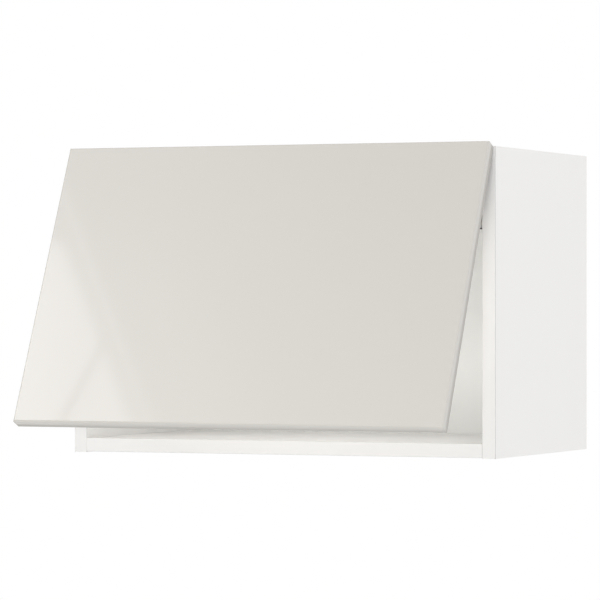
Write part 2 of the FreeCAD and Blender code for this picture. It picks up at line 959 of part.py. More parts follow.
def side_fittings():
    """The left-hand pieces that have a right-hand mirror image."""
    return {
        "side_panel": side_panel(),
        "lift_base": lift_base(),
        "lift_frame": lift_frame(),
        "lift_spacers": lift_spacers(),
        "lift_cover": lift_cover(),
        "frame_pins": frame_pins(),
        "main_arm": swung(main_arm(), arm_pivot),
        "arm_pins": swung(cross_pins([cross_arm_pin, tie_arm_pin]), arm_pivot),
        "guide_arm": swung(guide_arm(), guide_pivot),
        "guide_pin": swung(cross_pins([cross_guide_pin]), guide_pivot),
        "cross_link": carried(cross_link(), cross_door_pin, door_edge),
        "tie_link": carried(tie_link(), tie_door_pin, door_edge),
        "gas_cylinder": gas_cylinder(),
        "gas_rod": pushed(gas_rod()),
        "roller_fork": pushed(roller_fork()),
        "roller": pushed(roller()),
        "door_bracket": hinged(door_bracket()),
        "door_pins": hinged(cross_pins([cross_door_pin, tie_door_pin])),
        "hanger_body": hanger_body(),
        "hanger_hook": hook(),
        "hanger_height_screw": height_screw(),
        "hanger_cover": hanger_cover(),
    }


def shared_pieces():
    lift_screws = [screw(-along_x, seat) for seat in lift_screw_seats()]
    hanger_screws = [screw(-along_x, seat) for seat in hanger_screw_seats()]
    bracket_screws = [hinged(screw(-along_y, seat)) for seat in bracket_screw_seats()]
    bolts = [cam_bolt(place) for place in cam_places()]
    locks = [cam_lock(place) for place in cam_places()]
    return {
        "top_panel": level_panel(True),
        "bottom_panel": level_panel(False),
        "back_panel": back_panel(),
        "wood_dowels": wood_dowels(),
        "cam_bolts": group(bolts + [mirrored(bolt) for bolt in bolts]),
        "cam_locks": group(locks + [mirrored(lock) for lock in locks]),
        "lift_screws": group(lift_screws + [mirrored(piece) for piece in lift_screws]),
        "hanger_screws": group(hanger_screws + [mirrored(piece) for piece in hanger_screws]),
        "bracket_screws": group(bracket_screws + [mirrored(piece) for piece in bracket_screws]),
        "door": hinged(door()),
        "door_bumpers": hinged(door_bumpers()),
    }


def main():
    os.makedirs("parts", exist_ok=True)
    nodes = shared_pieces()
    for name, shape in side_fittings().items():
        nodes["left_" + name] = shape
        nodes["right_" + name] = mirrored(shape)
    for name, shape in nodes.items():
        shape.exportStep("parts/" + name + ".step")
        print(name, "solids", len(shape.Solids), "volume", round(shape.Volume), shape.isValid())


main()
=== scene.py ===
import json
import math

import bmesh
import bpy
import numpy as np
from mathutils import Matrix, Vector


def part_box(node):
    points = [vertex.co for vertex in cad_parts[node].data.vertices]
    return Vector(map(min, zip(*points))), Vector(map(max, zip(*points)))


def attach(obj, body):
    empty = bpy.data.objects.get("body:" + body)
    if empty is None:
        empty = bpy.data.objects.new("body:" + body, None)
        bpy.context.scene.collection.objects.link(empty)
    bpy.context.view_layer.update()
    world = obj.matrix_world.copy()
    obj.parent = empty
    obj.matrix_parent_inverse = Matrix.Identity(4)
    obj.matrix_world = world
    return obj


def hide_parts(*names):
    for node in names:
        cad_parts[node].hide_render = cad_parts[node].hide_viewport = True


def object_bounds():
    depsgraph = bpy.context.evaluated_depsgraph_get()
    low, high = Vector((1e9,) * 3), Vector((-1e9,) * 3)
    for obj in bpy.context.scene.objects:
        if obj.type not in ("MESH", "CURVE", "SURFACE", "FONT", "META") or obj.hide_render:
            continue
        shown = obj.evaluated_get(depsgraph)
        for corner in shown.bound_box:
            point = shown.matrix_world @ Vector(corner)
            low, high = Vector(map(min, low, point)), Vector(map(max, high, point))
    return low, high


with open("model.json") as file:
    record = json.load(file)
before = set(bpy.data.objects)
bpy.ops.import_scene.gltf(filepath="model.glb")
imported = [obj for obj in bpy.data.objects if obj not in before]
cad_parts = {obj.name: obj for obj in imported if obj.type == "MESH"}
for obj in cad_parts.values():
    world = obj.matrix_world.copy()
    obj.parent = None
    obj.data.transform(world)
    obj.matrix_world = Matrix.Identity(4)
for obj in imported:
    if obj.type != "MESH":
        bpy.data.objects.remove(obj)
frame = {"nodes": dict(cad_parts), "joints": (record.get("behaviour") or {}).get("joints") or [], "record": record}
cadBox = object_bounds()
nodes = frame["nodes"]
pivots = {joint["name"]: np.array(joint["pos_m"]) for joint in frame["joints"] if "pos_m" in joint}
doorLift = next(joint for joint in frame["joints"] if joint["name"] == "door_lift")
restTurn = -np.radians(doorLift["range_deg"])[0]  # how far the door stands open at rest
sides = {"left": -1, "right": 1}
print("frame loaded:", len(nodes), "nodes")


# Shader trees

class Wire:  # one socket of a shader tree; arithmetic on it adds Math nodes
    def __init__(self, tree, socket):
        self.tree = tree
        self.socket = socket

    def maths(self, operation, *values):
        return self.tree.node("ShaderNodeMath", {"operation": operation}, dict(enumerate(values)))

    def __add__(self, other):
        return self.maths("ADD", self, other)

    def __radd__(self, other):
        return self.maths("ADD", other, self)

    def __sub__(self, other):
        return self.maths("SUBTRACT", self, other)

    def __rsub__(self, other):
        return self.maths("SUBTRACT", other, self)

    def __mul__(self, other):
        return self.maths("MULTIPLY", self, other)

    def __rmul__(self, other):
        return self.maths("MULTIPLY", other, self)

    def __truediv__(self, other):
        return self.maths("DIVIDE", self, other)

    def __abs__(self):
        return self.maths("ABSOLUTE", self)

    def largest(self, other):
        return self.maths("MAXIMUM", self, other)

    def root(self):
        return self.maths("SQRT", self)

    def ramped(self, start, end):  # 0 at the start, 1 at the end and smooth between
        sockets = {"Value": self, "From Min": start, "From Max": end}
        return self.tree.node("ShaderNodeMapRange", {"interpolation_type": "SMOOTHSTEP"}, sockets)

    def above(self, level, softness):  # 0 below the level, 1 above it, with a smooth step between
        return self.ramped(level - softness, level + softness)


class ShaderTree:  # the nodes of a material or of the world, and the coordinates that their patterns use
    def __init__(self, tree, coordinates):
        self.tree = tree
        self.place = self.node("ShaderNodeTexCoord", {}, {}, coordinates)

    def node(self, kind, settings, sockets, output=0):
        made = self.tree.nodes.new(kind)
        for name, value in settings.items():
            if name == "stops":
                self.setStops(made.color_ramp, value)
            else:
                setattr(made, name, value)
        for key, value in sockets.items():
            self.join(value, made.inputs[key])
        return Wire(self, made.outputs[output])

    def setStops(self, ramp, stops):  # the first two are the ends that a new ramp has
        for index, (position, colour) in enumerate(stops):
            stop = ramp.elements[index] if index < 2 else ramp.elements.new(position)
            stop.position = position
            stop.color = (*colour, 1)

    def join(self, value, socket):
        if isinstance(value, Wire):
            self.tree.links.new(value.socket, socket)
        elif isinstance(value, tuple) and len(value) == 3 and socket.type == "RGBA":
            socket.default_value = (*value, 1)
        else:
            socket.default_value = value

    def noise(self, scale, detail=3, roughness=0.55, vector=None):
        sockets = {"Vector": vector or self.place, "Scale": scale, "Detail": detail, "Roughness": roughness}
        return self.node("ShaderNodeTexNoise", {}, sockets, "Fac")

    def cells(self, scale, vector=None, output="Distance"):
        return self.node("ShaderNodeTexVoronoi", {}, {"Vector": vector or self.place, "Scale": scale}, output)

    def turnedPlace(self, location=(0, 0, 0), rotation=(0, 0, 0), scale=(1, 1, 1), vector=None):
        sockets = {"Vector": vector or self.place, "Location": location, "Rotation": rotation, "Scale": scale}
        return self.node("ShaderNodeMapping", {}, sockets)

    def split(self, vector=None):
        made = self.tree.nodes.new("ShaderNodeSeparateXYZ")
        self.join(vector or self.place, made.inputs[0])
        return [Wire(self, made.outputs[axis]) for axis in range(3)]

    def shadeOf(self, colour):  # the first channel of a colour, as a number
        return self.node("ShaderNodeSeparateColor", {}, {0: colour})

    def blend(self, factor, first, second):  # the first colour at factor 0, the second at factor 1
        return self.node("ShaderNodeMix", {"data_type": "RGBA"}, {0: factor, 6: first, 7: second}, 2)

    def ramp(self, factor, stops):
        return self.node("ShaderNodeValToRGB", {"stops": stops}, {0: factor})

    def bump(self, height, strength, distance, normal=None):
        sockets = {"Height": height, "Strength": strength, "Distance": distance}
        if normal:
            sockets["Normal"] = normal
        return self.node("ShaderNodeBump", {}, sockets)


class Finish(ShaderTree):  # one material and its shader
    def __init__(self, name):
        self.material = bpy.data.materials.new(name)
        self.material.use_nodes = True
        super().__init__(self.material.node_tree, "Object")
        self.shader = self.tree.nodes["Principled BSDF"]

    def surface(self, sockets):
        for key, value in sockets.items():
            self.join(value, self.shader.inputs[key])
        return self


def lit(colour, amount):  # a colour made lighter or darker by one factor
    return tuple(min(1, channel * amount) for channel in colour)


# Finishes: lengths are in metres, and the scales of grain, mottle, chips and the like in cells a metre

foil = {
    "colour": (0.845, 0.838, 0.828), "roughness": 0.42, "shine": 0.42,
    "grain": 1500, "grainRise": 0.12, "grainRoughness": 0.05,
    "mottle": 7, "mottleShade": 0.5, "mottleTone": 0.985,
    "front": -0.36, "bandDepth": 0.001, "bandShadeTone": 0.845, "bandSoft": 0.0001,
    "bandLine": 0.00012, "lineSoft": 0.6, "lineShade": 0.6, "lineAndShadeTone": 0.3,
    "arris": 0.0007, "arrisSoft": 0.0002, "arrisShade": 0.5,
    "innerFace": 0.2815, "underside": -0.3535, "faceSoft": 0.0004,
    "rearSkin": 0.0004, "rearSoft": 0.3, "rearRoughness": 0.35, "bump": (0.35, 0.0002),
    "chipScale": 420, "chipStretch": (1, 1, 2.3), "chipRise": 1.5,
    "darkChip": (0.42, 0.30, 0.19), "chip": (0.60, 0.46, 0.31), "paleChip": (0.71, 0.57, 0.40),
}


def whiteFoil():  # melamine foil with a fine grain, front edge bands in a darker tone that is painted shade, seams behind them darkened partly with painted shade, painted shade over the arrises, and raw rear edges
    finish = Finish("whiteFoil")
    x, y, z = finish.split()
    grain = finish.noise(foil["grain"], 2, 0.6)
    mottle = finish.noise(foil["mottle"], 2) * foil["mottleShade"]
    skin = finish.blend(mottle, foil["colour"], lit(foil["colour"], foil["mottleTone"]))
    behind = y - foil["front"]
    # The front edge band is painted a darker tone: painted shade on the front faces, not a colour of its own
    shadedBand = lit(foil["colour"], foil["bandShadeTone"])
    skin = finish.blend(behind.above(foil["bandDepth"], foil["bandSoft"]), shadedBand, skin)
    # A thin dark line behind the band, partly the glue seam and partly painted shade, and painted shade over the
    # arrises of the sides and of the underside
    onSide = abs(x).above(foil["innerFace"], foil["faceSoft"])
    edges = onSide + 1 - z.above(foil["underside"], foil["faceSoft"])
    beside = abs(behind - foil["bandDepth"]).above(foil["bandLine"], foil["bandLine"] * foil["lineSoft"])
    seamAndShadeLine = (1 - beside) * foil["lineShade"]
    # Painted shade on the rounded arrises, which turn away from the light
    arris = behind.above(foil["bandSoft"], foil["bandSoft"]) - behind.above(foil["arris"], foil["arrisSoft"])
    arris = arris * foil["arrisShade"] * edges
    # The seam line and the painted arris shade both blend towards one dark tone
    skin = finish.blend(seamAndShadeLine.largest(arris), skin, lit(foil["colour"], foil["lineAndShadeTone"]))
    chips = finish.cells(foil["chipScale"], finish.turnedPlace(scale=foil["chipStretch"]), "Color")
    shade = finish.shadeOf(chips)
    raw = finish.ramp(shade, [(0, foil["darkChip"]), (1, foil["paleChip"]), (0.5, foil["chip"])])
    rear = y.above(-foil["rearSkin"], foil["rearSkin"] * foil["rearSoft"])
    height = grain * foil["grainRise"] + rear * shade * foil["chipRise"]
    return finish.surface({
        "Base Color": finish.blend(rear, skin, raw),
        "Roughness": foil["roughness"] + grain * foil["grainRoughness"] + rear * foil["rearRoughness"],
        "Normal": finish.bump(height, *foil["bump"]),
        "Specular IOR Level": foil["shine"],
    })


board = {
    "colour": (0.835, 0.842, 0.822), "roughness": 0.46, "bump": (0.3, 0.00025),
    "speckle": 900, "speckleTone": 0.985, "speckleRoughness": 0.04, "speckleRise": 0.3,
    "rearFace": -0.0108, "rearSoft": 0.0001, "rearRoughness": 0.4,
    "fibre": (0.46, 0.34, 0.22), "fibreScale": 240, "fibreStretch": (1, 1, 3.5),
    "darkFibre": 0.75, "paleFibre": 1.3,
}


def whiteBoard():  # thin fibreboard, painted inside and bare towards the wall
    finish = Finish("whiteBoard")
    y = finish.split()[1]
    speckle = finish.noise(board["speckle"], 2)
    fibres = finish.noise(board["fibreScale"], 5, 0.7, finish.turnedPlace(scale=board["fibreStretch"]))
    dark, pale = lit(board["fibre"], board["darkFibre"]), lit(board["fibre"], board["paleFibre"])
    bare = finish.blend(fibres, dark, pale)
    rear = y.above(board["rearFace"], board["rearSoft"])
    paint = finish.blend(speckle * 0.4, board["colour"], lit(board["colour"], board["speckleTone"]))
    roughness = board["roughness"] + rear * board["rearRoughness"]
    return finish.surface({
        "Base Color": finish.blend(rear, paint, bare),
        "Roughness": roughness + speckle * board["speckleRoughness"],
        "Normal": finish.bump(speckle * board["speckleRise"] + rear * fibres, *board["bump"]),
    })


gloss = {
    "colour": (0.562, 0.541, 0.504), "shadedEdgeColour": (0.460, 0.444, 0.418), "backColour": (0.50, 0.482, 0.455),
    "thickness": 0.018, "arris": 0.0024, "arrisSoft": 0.00015, "backSkin": 0.0004, "backSoft": 0.0002,
    "seamHalf": 0.0001, "seamSoft": 0.00008, "seamShade": 0.25, "seamAndShadeTone": 0.6,
    "cloud": 3, "cloudTone": 0.992, "flake": 2200, "flakeShade": 0.06, "flakeTone": 0.9, "backTone": 0.97,
    "peel": 55, "peelBump": (0.02, 0.0004), "flakeBump": (0.1, 0.0001),
    "coatRoughness": 0.02, "coatIndex": 1.52, "baseRoughness": 0.42, "shine": 0.15,
}


def glossGreige():  # high-gloss foil over the front and its rounded arrises, a dark line where they end that is partly seam and partly painted shade, satin edge bands whose darker colour is painted shade, and back
    finish = Finish("glossGreige")
    # Object coordinates turned back to the closed door, with the hinge line as their origin
    hinge = pivots["door_lift"]
    moved = finish.turnedPlace(location=(0, -hinge[1], -hinge[2]))
    closed = finish.turnedPlace(rotation=(restTurn, 0, 0), vector=moved)
    y = finish.split(closed)[1]
    arrisEnd = gloss["arris"] - gloss["thickness"]
    front = 1 - y.above(arrisEnd, gloss["arrisSoft"])
    back = y.above(-gloss["backSkin"], gloss["backSoft"])
    peel = finish.noise(gloss["peel"], 1, 0.4)
    flake = finish.noise(gloss["flake"], 1)
    cloud = finish.noise(gloss["cloud"], 1)
    face = finish.blend(cloud * 0.5, gloss["colour"], lit(gloss["colour"], gloss["cloudTone"]))
    face = finish.blend(flake * gloss["flakeShade"], face, lit(gloss["colour"], gloss["flakeTone"]))
    # A dark line where the gloss front ends, partly the seam of the edge band and partly painted shade on the
    # arris
    seamAndShade = (1 - abs(y - arrisEnd).above(gloss["seamHalf"], gloss["seamSoft"])) * gloss["seamShade"]
    face = finish.blend(seamAndShade, face, lit(gloss["colour"], gloss["seamAndShadeTone"]))
    # The edge bands take a darker colour: painted shade on the door's sides and bottom
    face = finish.blend(front, gloss["shadedEdgeColour"], face)
    satin = finish.blend(flake * 0.25, gloss["backColour"], lit(gloss["backColour"], gloss["backTone"]))
    peelNormal = finish.bump(peel * front, *gloss["peelBump"])
    return finish.surface({
        "Base Color": finish.blend(back, face, satin),
        "Roughness": gloss["baseRoughness"] + flake * 0.04,
        "Specular IOR Level": gloss["shine"],
        "Coat Weight": front,
        "Coat Roughness": gloss["coatRoughness"],
        "Coat IOR": gloss["coatIndex"],
        "Normal": finish.bump(flake * (1 - front), *gloss["flakeBump"], peelNormal),
    })


dowelWood = {
    "dark": (0.62, 0.44, 0.27), "pale": (0.80, 0.64, 0.44), "fibre": 700, "fibreStretch": (0.06, 1, 1),
    "fleckColour": (0.43, 0.27, 0.15), "fleck": 1500, "fleckStretch": (0.12, 1, 1), "fleckLevel": 0.64,
    "fleckSoft": 0.03, "roughness": 0.62, "bump": (0.3, 0.0003),
}


def beech():  # turned beech dowels: long fibres and short dark flecks along x
    finish = Finish("beech")
    fibres = finish.noise(dowelWood["fibre"], 4, 0.6, finish.turnedPlace(scale=dowelWood["fibreStretch"]))
    flecks = finish.noise(dowelWood["fleck"], 2, 0.5, finish.turnedPlace(scale=dowelWood["fleckStretch"]))
    flecks = flecks.above(dowelWood["fleckLevel"], dowelWood["fleckSoft"])
    wood = finish.blend(fibres, dowelWood["dark"], dowelWood["pale"])
    return finish.surface({
        "Base Color": finish.blend(flecks * 0.5, wood, dowelWood["fleckColour"]),
        "Roughness": dowelWood["roughness"] + fibres * 0.1,
        "Normal": finish.bump(fibres, *dowelWood["bump"]),
    })


metals = {
    "zincSteel": {"colour": (0.66, 0.67, 0.68), "roughness": 0.34, "brush": (0.03, 1, 1), "scale": 900,
                  "spangle": 0.5},
    "nickelSteel": {"colour": (0.70, 0.69, 0.66), "roughness": 0.26, "brush": (1, 0.04, 1), "scale": 1400,
                    "spangle": 0},
    "castZinc": {"colour": (0.58, 0.58, 0.59), "roughness": 0.42, "brush": (1, 1, 1), "scale": 1100,
                 "spangle": 0},
    "polishedRod": {"colour": (0.82, 0.82, 0.83), "roughness": 0.10, "brush": (0.2, 3, 0.2), "scale": 1600,
                    "spangle": 0},
}
metalSkin = {"darkStreak": 0.9, "paleStreak": 1.06, "mark": 45, "markLevel": 0.56, "markSoft": 0.1,
             "markShade": 0.18, "markTone": 0.7, "crystal": 240, "crystalTone": 0.86, "bump": (0.12, 0.0001)}


def metal(name):  # brushed, cast or plated metal: streaks, soft crystals on zinc, darker handling marks
    sizes = metals[name]
    finish = Finish(name)
    streaks = finish.noise(sizes["scale"], 3, 0.6, finish.turnedPlace(scale=sizes["brush"]))
    marks = finish.noise(metalSkin["mark"], 4, 0.6).above(metalSkin["markLevel"], metalSkin["markSoft"])
    shade = finish.shadeOf(finish.cells(metalSkin["crystal"], output="Color")) * sizes["spangle"]
    dark, pale = lit(sizes["colour"], metalSkin["darkStreak"]), lit(sizes["colour"], metalSkin["paleStreak"])
    base = finish.blend(streaks * 0.6, dark, pale)
    base = finish.blend(shade * 0.5, base, lit(sizes["colour"], metalSkin["crystalTone"]))
    marked = lit(sizes["colour"], metalSkin["markTone"])
    return finish.surface({
        "Base Color": finish.blend(marks * metalSkin["markShade"], base, marked),
        "Metallic": 1.0,
        "Roughness": sizes["roughness"] + streaks * 0.10 + marks * 0.08 + shade * 0.06,
        "Normal": finish.bump(streaks, *metalSkin["bump"]),
    })


plastics = {
    "blackEnamel": {"colour": (0.022, 0.022, 0.024), "roughness": 0.30, "pit": 260, "pitDepth": 0.10,
                    "coat": 0.6},
    "darkPlastic": {"colour": (0.050, 0.050, 0.054), "roughness": 0.48, "pit": 1700, "pitDepth": 0.45,
                    "coat": 0.0},
    "whitePlastic": {"colour": (0.82, 0.82, 0.81), "roughness": 0.38, "pit": 1300, "pitDepth": 0.25,
                     "coat": 0.0},
    "greyAcetal": {"colour": (0.30, 0.30, 0.31), "roughness": 0.30, "pit": 700, "pitDepth": 0.10,
                   "coat": 0.0},
}
mouldedSkin = {"flow": 26, "flowStretch": (1, 0.4, 1), "darkFlow": 0.93, "paleFlow": 1.07, "pitTone": 0.8,
               "pitReach": 0.0002}


def moulded(name):  # moulded plastic or enamel: a pitted skin with faint flow marks
    sizes = plastics[name]
    finish = Finish(name)
    pits = finish.cells(sizes["pit"])
    flow = finish.noise(mouldedSkin["flow"], 3, 0.5, finish.turnedPlace(scale=mouldedSkin["flowStretch"]))
    dark, pale = lit(sizes["colour"], mouldedSkin["darkFlow"]), lit(sizes["colour"], mouldedSkin["paleFlow"])
    base = finish.blend(flow, dark, pale)
    return finish.surface({
        "Base Color": finish.blend(pits * 0.25, base, lit(sizes["colour"], mouldedSkin["pitTone"])),
        "Roughness": sizes["roughness"] + flow * 0.06 + pits * 0.05,
        "Coat Weight": sizes["coat"],
        "Coat Roughness": 0.1,
        "Normal": finish.bump(pits, sizes["pitDepth"], mouldedSkin["pitReach"]),
    })


bumperGel = {"dark": (0.80, 0.80, 0.78), "pale": (0.90, 0.90, 0.88), "cloud": 900, "roughness": 0.22,
             "clearness": 0.55, "index": 1.46, "bump": (0.08, 0.0003)}


def clearBumper():  # soft clear polymer, slightly cloudy
    finish = Finish("clearBumper")
    cloud = finish.noise(bumperGel["cloud"], 3)
    return finish.surface({
        "Base Color": finish.blend(cloud, bumperGel["dark"], bumperGel["pale"]),
        "Roughness": bumperGel["roughness"] + cloud * 0.1,
        "Transmission Weight": bumperGel["clearness"],
        "IOR": bumperGel["index"],
        "Normal": finish.bump(cloud, *bumperGel["bump"]),
    })


finishes = {
    "white_foil": whiteFoil(),
    "white_board": whiteBoard(),
    "gloss_greige": glossGreige(),
    "beech": beech(),
    "zinc_steel": metal("zincSteel"),
    "nickel_steel": metal("nickelSteel"),
    "cast_zinc": metal("castZinc"),
    "polished_rod": metal("polishedRod"),
    "black_enamel": moulded("blackEnamel"),
    "dark_plastic": moulded("darkPlastic"),
    "white_plastic": moulded("whitePlastic"),
    "grey_acetal": moulded("greyAcetal"),
    "clear_bumper": clearBumper(),
}
slotOf = {subpart["node"]: subpart["material_slot"] for subpart in frame["record"]["subparts"]}
bodies = frame["record"]["behaviour"]["bodies"]
bodyOf = {node: body for body, members in bodies.items() for node in members}
for name, node in nodes.items():
    node.data.materials.clear()
    node.data.materials.append(finishes[slotOf[name]].material)
print("finishes made:", len(finishes))


# Surfaces

def unit(vector):
    return np.asarray(vector, float) / np.linalg.norm(vector)


def acrossAxes(direction):  # a unit direction, and two more at right angles to it and to each other
    axis = unit(direction)
    aside = unit(np.cross(axis, (1, 0, 0) if abs(axis[0]) < 0.5 else (0, 0, 1)))
    return axis, aside, np.cross(axis, aside)


def turnsOf(columns):  # the angles of a ring's columns
    return np.arange(columns) * 2 * np.pi / columns


def gridFaces(rows, columns):  # quads of a grid whose last column joins its first
    row, column = np.meshgrid(np.arange(rows - 1), np.arange(columns), indexing="ij")
    onward = (column + 1) % columns
    near, far = row * columns, (row + 1) * columns
    return np.stack([near + column, near + onward, far + onward, far + column], -1).reshape(-1, 4)


def turnedSurface(radii, heights, foot, direction, columns=40):
    # Surface of revolution: point = foot + height * axis + radius * (cos u * aside + sin u * upward).
    # Radii and heights are one number for each row, or one for each row and column.
    axis, aside, upward = acrossAxes(direction)
    turn = turnsOf(columns)
    ring = np.cos(turn)[:, None] * aside + np.sin(turn)[:, None] * upward
    rows = len(radii)
    radius = np.broadcast_to(np.reshape(radii, (rows, -1)), (rows, columns))
    height = np.broadcast_to(np.reshape(heights, (rows, -1)), (rows, columns))
    points = np.asarray(foot) + height[..., None] * axis + radius[..., None] * ring
    return points.reshape(-1, 3), gridFaces(rows, columns)


def roundedProfile(profile, soften, steps=4):
    # Each corner of a (radius, height) profile becomes an arc: a quadratic curve between points that lie
    # one softening length before and after the corner.
    profile = np.asarray(profile, float)
    t = np.linspace(0, 1, steps)[:, None]
    rows = [profile[:1]]
    for before, corner, after in zip(profile[:-2], profile[1:-1], profile[2:]):
        reachBefore = min(soften, np.linalg.norm(corner - before) / 2)
        reachAfter = min(soften, np.linalg.norm(after - corner) / 2)
        start = corner + unit(before - corner) * reachBefore
        end = corner + unit(after - corner) * reachAfter
        rows.append((1 - t) ** 2 * start + 2 * t * (1 - t) * corner + t ** 2 * end)
    rows.append(profile[-1:])
    return np.concatenate(rows).T


def turnedPiece(profile, soften, foot, direction, columns=40):
    radii, heights = roundedProfile(profile, soften)
    return turnedSurface(radii, heights, foot, direction, columns)


def barSurface(first, last, radius, low, high, rim, waist=1.0, columns=48, alongSteps=16):
    # Flat bar with round ends, lying across x. Round the outline point = middle(u) + radius(u) * outward(u).
    # From the middle line the section goes out over one face, round the rim and back over the other.
    first, last = np.asarray(first, float)[1:], np.asarray(last, float)[1:]
    onward = unit(last - first)
    aside = np.array([-onward[1], onward[0]])
    turn = np.linspace(-np.pi / 2, np.pi / 2, columns // 2)
    step = np.linspace(0, 1, alongSteps + 2)[1:-1]
    cap = np.cos(turn)[:, None] * onward + np.sin(turn)[:, None] * aside
    side = np.broadcast_to(aside, (alongSteps, 2))
    outward = np.concatenate([cap, side, -cap, -side])
    middle = np.concatenate([
        np.broadcast_to(last, cap.shape), last + (first - last) * step[:, None],
        np.broadcast_to(first, cap.shape), first + (last - first) * step[:, None],
    ])
    narrow = 1 - (1 - waist) * np.sin(np.pi * step) ** 2
    reach = radius * np.concatenate([np.ones(len(cap)), narrow, np.ones(len(cap)), narrow])
    bend = np.linspace(0, np.pi / 2, 4)
    rounding = 1 - rim / radius * (1 - np.sin(bend))
    shares = np.concatenate([[0, 0.5], rounding, rounding[::-1], [0.5, 0]])
    drop = rim * (1 - np.cos(bend))
    across = np.concatenate([[low, low], low + drop, (high - drop)[::-1], [high, high]])
    plane = middle[None] + shares[:, None, None] * reach[None, :, None] * outward[None]
    x = np.broadcast_to(across[:, None, None], (*plane.shape[:2], 1))
    return np.concatenate([x, plane], -1).reshape(-1, 3), gridFaces(len(shares), len(outward))


def mergeDoubles(shell):
    bmesh.ops.remove_doubles(shell, verts=shell.verts, dist=1e-6)


def seatPiece(name, mesh, slotName, body, replaced, sharpAngle):
    mesh.shade_smooth()
    mesh.set_sharp_from_angle(angle=math.radians(sharpAngle))
    mesh.materials.clear()
    mesh.materials.append(finishes[slotName].material)
    piece = bpy.data.objects.new(name, mesh)
    bpy.context.scene.collection.objects.link(piece)
    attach(piece, body)
    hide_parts(*replaced)
    return piece


def makePiece(name, parts, slotName, body, replaced, sharpAngle=40):
    # Joins (points, faces) pairs into one mesh of closed shells that face outwards, and seats it on its body.
    starts = np.cumsum([0] + [len(points) for points, faces in parts])
    allPoints = np.concatenate([points for points, faces in parts])
    allFaces = np.concatenate([faces + start for (points, faces), start in zip(parts, starts)])
    mesh = bpy.data.meshes.new(name)
    mesh.from_pydata(allPoints.tolist(), [], allFaces.tolist())
    shell = bmesh.new()
    shell.from_mesh(mesh)
    mergeDoubles(shell)
    bmesh.ops.recalc_face_normals(shell, faces=shell.faces)
    shell.to_mesh(mesh)
    shell.free()
    return seatPiece(name, mesh, slotName, body, replaced, sharpAngle)


def nodePiece(node, suffix, parts, sharpAngle=40):  # in the place of one CAD node, with its slot and its body
    return makePiece(node + suffix, parts, slotOf[node], bodyOf[node], [node], sharpAngle)


softening = {"flatAngle": 0.5, "sharpAngle": 35, "segments": 3}


def softenedCopy(node, width):
    # A copy of a CAD node with its corners merged, its flat faces whole and its edges rounded.
    mesh = nodes[node].data.copy()
    shell = bmesh.new()
    shell.from_mesh(mesh)
    mergeDoubles(shell)
    flatAngle = math.radians(softening["flatAngle"])
    bmesh.ops.dissolve_limit(shell, angle_limit=flatAngle, verts=shell.verts, edges=shell.edges)
    shell.to_mesh(mesh)
    shell.free()
    piece = seatPiece(node + "_shell", mesh, slotOf[node], bodyOf[node], [node], softening["sharpAngle"])
    if width:
        bevel = piece.modifiers.new("edges", "BEVEL")
        bevel.width = width
        bevel.segments = softening["segments"]
        bevel.limit_method = "ANGLE"
        bevel.angle_limit = math.radians(softening["sharpAngle"])
        bevel.harden_normals = True
    else:
        piece.modifiers.new("normals", "WEIGHTED_NORMAL").keep_sharp = True


def solidsOf(node):
    # Each separate solid of a CAD node, as its corners. Corners of one triangle pass on their lowest number
    # until no number changes.
    mesh = nodes[node].data
    corners = np.empty(len(mesh.vertices) * 3)
    mesh.vertices.foreach_get("co", corners)
    corners = corners.reshape(-1, 3)
    used = np.empty(len(mesh.loops), int)
    mesh.loops.foreach_get("vertex_index", used)
    merged = np.unique(np.round(corners, 6), axis=0, return_inverse=True)[1].reshape(-1)
    triangles = merged[used].reshape(-1, 3)
    number = np.arange(merged.max() + 1)
    changing = True
    while changing:
        fresh = number.copy()
        np.minimum.at(fresh, triangles.ravel(), np.repeat(number[triangles].min(1), 3))
        changing = bool((fresh != number).any())
        number = fresh
    return [corners[number[merged] == value] for value in np.unique(number)]


def seatOf(solid, direction):
    # Where the middle line of a solid starts, going along a direction, and how long it is.
    axes = np.stack(acrossAxes(direction), 1)
    low, high = (solid @ axes).min(0), (solid @ axes).max(0)
    start = axes @ np.array([low[0], (low[1] + high[1]) / 2, (low[2] + high[2]) / 2])
    return start, high[0] - low[0]


# Screws, with a cross recess and a thread

panelScrew = {
    "core": 0.00125, "shank": 0.00178, "head": 0.0036, "headHeight": 0.002, "point": 0.003, "pitch": 0.0012,
    "crossWidth": 0.00045, "crossReach": 0.0019, "crossDepth": 0.0012,
}
heightScrew = {
    "core": 0.0025, "shank": 0.0030, "head": 0.0042, "headHeight": 0.003, "point": 0.0012, "pitch": 0.0015,
    "crossWidth": 0.0008, "crossReach": 0.0031, "crossDepth": 0.0018,
}
# Shares of the head's height, but edgeIn is a share of the edge and domeEdge one of the head's radius
screwHead = {
    "edge": 0.45, "edgeIn": 0.25, "edgeRise": 0.6, "domeFoot": 0.55, "domeRise": 0.45, "domeEdge": 0.93,
}
screwThread = {"rowsPerPitch": 7, "steepness": 1.4}
crossFade = {"edge": 1.3, "side": 0.6, "end": 0.5}  # shares of the cross's width, and of its reach


def crossRecess(radius, turn, size):
    # Depth of a cross recess at a distance and angle from the axis: full in its two bars, fading at the ends.
    width, reach = size["crossWidth"], size["crossReach"]
    along, aside = np.abs(radius * np.cos(turn)), np.abs(radius * np.sin(turn))
    narrow, far = np.minimum(along, aside), np.maximum(along, aside)
    inside = np.clip((width * crossFade["edge"] - narrow) / (width * crossFade["side"]), 0, 1)
    return size["crossDepth"] * inside * np.clip((reach - far) / (reach * crossFade["end"]), 0, 1)


def offCrest(heights, pitch, turn):
    # How far each point of a thread lies from the crest, 0 to 1: abs(2 * fraction(height / pitch - u) - 1).
    phase = (heights[:, None] / pitch - turn[None] / (2 * np.pi)) % 1
    return np.abs(phase * 2 - 1)


def everyColumn(rows, columns):  # one number for each row, repeated round the ring
    return np.broadcast_to(rows[:, None], (len(rows), columns))


